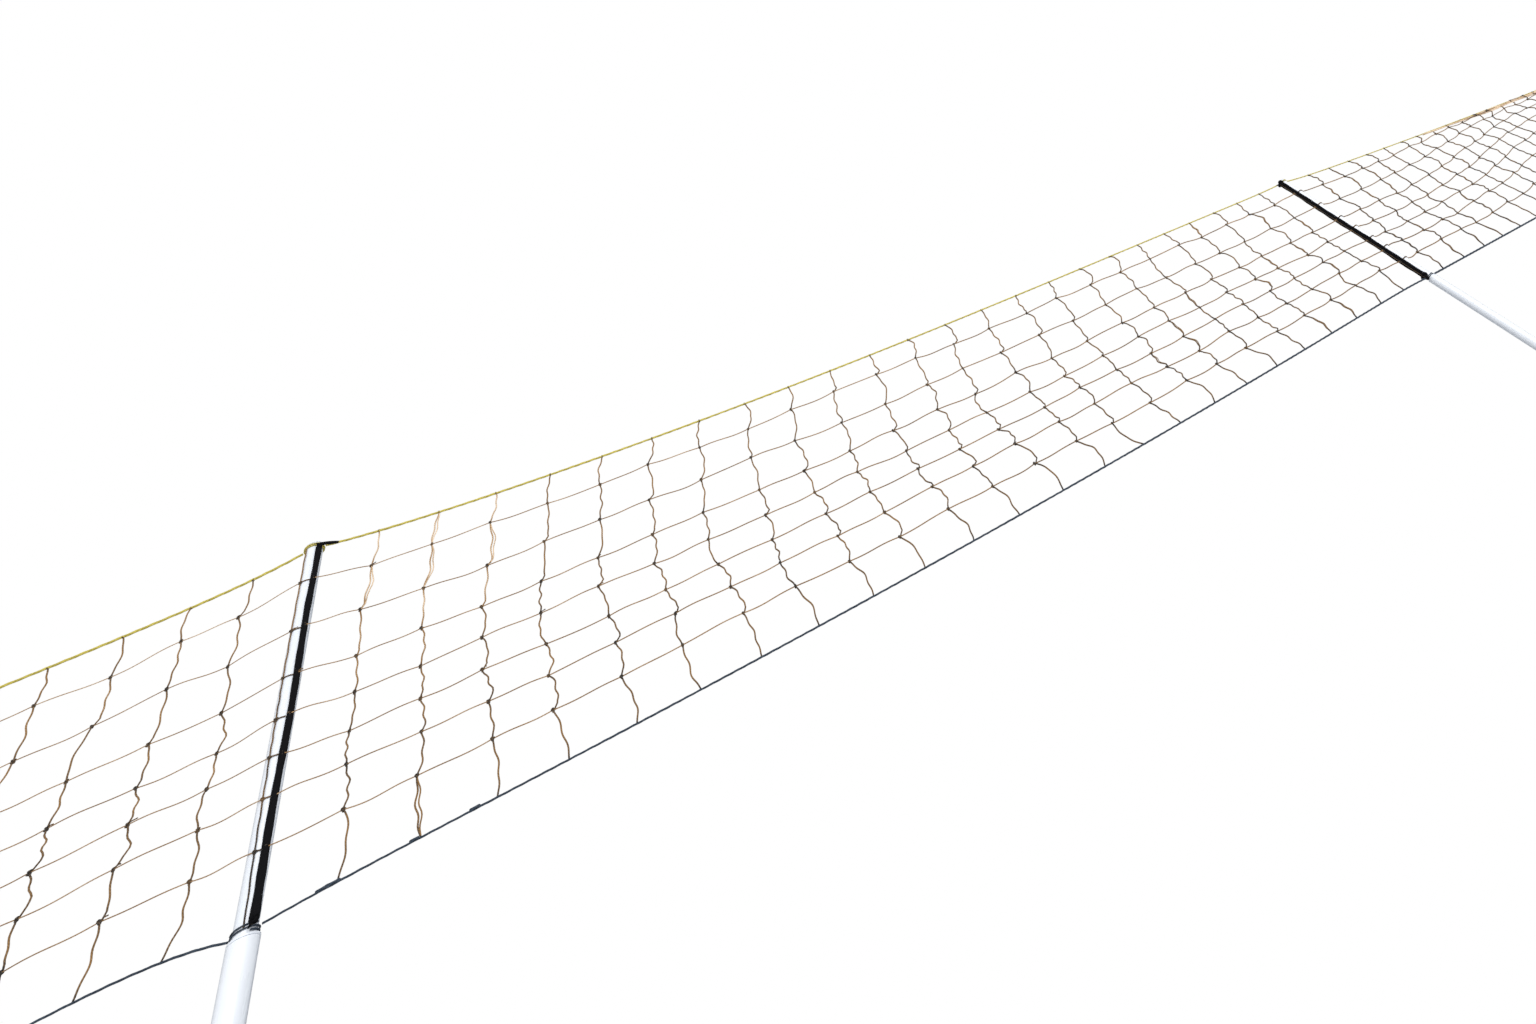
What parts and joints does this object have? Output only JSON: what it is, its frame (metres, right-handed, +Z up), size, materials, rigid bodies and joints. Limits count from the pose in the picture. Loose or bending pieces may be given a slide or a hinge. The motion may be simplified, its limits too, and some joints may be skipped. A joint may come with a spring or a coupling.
{
  "type": "volleyball net on poles",
  "caption": "Knotted volleyball net strung between slim telescopic posts on weighted bases, with side straps, lashings and locking thumb-screws.",
  "frame": {"origin": "on the floor, under the middle of the net", "axes": "+X along the net, +Z up, +Y towards the side with the thumb-screws"},
  "size_m": [7.912, 0.4, 2.2463],
  "materials": {
    "white_tube": "satin white powder coat",
    "base_coat": "matt pale grey moulded shell",
    "white_plastic": "satin white plastic",
    "cap_plastic": "satin pale grey plastic",
    "knob_plastic": "satin black plastic",
    "pad_rubber": "matt black rubber",
    "black_webbing": "woven black webbing, slightly frayed",
    "green_cord": "yellow-green laid cord",
    "navy_cord": "dark navy laid cord",
    "brown_netting": "brown knotted twine"
  },
  "bodies": {
    "stand": {"base_1": "base_coat", "base_2": "base_coat", "base_3": "base_coat", "base_4": "base_coat", "base_pad_1": "pad_rubber", "base_pad_2": "pad_rubber", "base_pad_3": "pad_rubber", "base_pad_4": "pad_rubber", "guide_bush_1": "white_plastic", "guide_bush_2": "white_plastic", "guide_bush_3": "white_plastic", "guide_bush_4": "white_plastic", "lock_ring_1": "white_plastic", "lock_ring_2": "white_plastic", "lock_ring_3": "white_plastic", "lock_ring_4": "white_plastic", "lower_tube_1": "white_tube", "lower_tube_2": "white_tube", "lower_tube_3": "white_tube", "lower_tube_4": "white_tube"},
    "net_carriage": {"bottom_cord_1": "navy_cord", "bottom_cord_2": "navy_cord", "bottom_cord_3": "navy_cord", "bottom_lashing_1": "navy_cord", "bottom_lashing_2": "navy_cord", "bottom_lashing_3": "navy_cord", "bottom_lashing_4": "navy_cord", "net_panel_1": "brown_netting", "net_panel_2": "brown_netting", "net_panel_3": "brown_netting", "side_strap_1": "black_webbing", "side_strap_2": "black_webbing", "side_strap_3": "black_webbing", "side_strap_4": "black_webbing", "top_cap_1": "cap_plastic", "top_cap_2": "cap_plastic", "top_cap_3": "cap_plastic", "top_cap_4": "cap_plastic", "top_cord_1": "green_cord", "top_cord_2": "green_cord", "top_cord_3": "green_cord", "top_lashing_1": "green_cord", "top_lashing_2": "green_cord", "top_lashing_3": "green_cord", "top_lashing_4": "green_cord", "upper_tube_1": "white_tube", "upper_tube_2": "white_tube", "upper_tube_3": "white_tube", "upper_tube_4": "white_tube"},
    "lock_screw_1": {"lock_screw_1": "knob_plastic"},
    "base_screw_1": {"base_screw_1": "knob_plastic"},
    "lock_screw_2": {"lock_screw_2": "knob_plastic"},
    "base_screw_2": {"base_screw_2": "knob_plastic"},
    "lock_screw_3": {"lock_screw_3": "knob_plastic"},
    "base_screw_3": {"base_screw_3": "knob_plastic"},
    "lock_screw_4": {"lock_screw_4": "knob_plastic"},
    "base_screw_4": {"base_screw_4": "knob_plastic"}
  },
  "joints": [
    {"name": "height_slide", "type": "slide", "parent": "stand", "child": "net_carriage", "axis": [0, 0, 1], "range_m": [0, 0.3]},
    {"name": "lock_screw_1_turn", "type": "hinge", "parent": "stand", "child": "lock_screw_1", "pos_m": [-3.756, 0, 1.2], "axis": [0, 1, 0], "range_deg": [0, 540]},
    {"name": "lock_screw_2_turn", "type": "hinge", "parent": "stand", "child": "lock_screw_2", "pos_m": [-1.256, 0, 1.2], "axis": [0, 1, 0], "range_deg": [0, 540]},
    {"name": "lock_screw_3_turn", "type": "hinge", "parent": "stand", "child": "lock_screw_3", "pos_m": [1.256, 0, 1.2], "axis": [0, 1, 0], "range_deg": [0, 540]},
    {"name": "lock_screw_4_turn", "type": "hinge", "parent": "stand", "child": "lock_screw_4", "pos_m": [3.756, 0, 1.2], "axis": [0, 1, 0], "range_deg": [0, 540]},
    {"name": "base_screw_1_turn", "type": "hinge", "parent": "stand", "child": "base_screw_1", "pos_m": [-3.756, 0, 0.075], "axis": [0, 1, 0], "range_deg": [0, 540]},
    {"name": "base_screw_2_turn", "type": "hinge", "parent": "stand", "child": "base_screw_2", "pos_m": [-1.256, 0, 0.075], "axis": [0, 1, 0], "range_deg": [0, 540]},
    {"name": "base_screw_3_turn", "type": "hinge", "parent": "stand", "child": "base_screw_3", "pos_m": [1.256, 0, 0.075], "axis": [0, 1, 0], "range_deg": [0, 540]},
    {"name": "base_screw_4_turn", "type": "hinge", "parent": "stand", "child": "base_screw_4", "pos_m": [3.756, 0, 0.075], "axis": [0, 1, 0], "range_deg": [0, 540]}
  ]
}
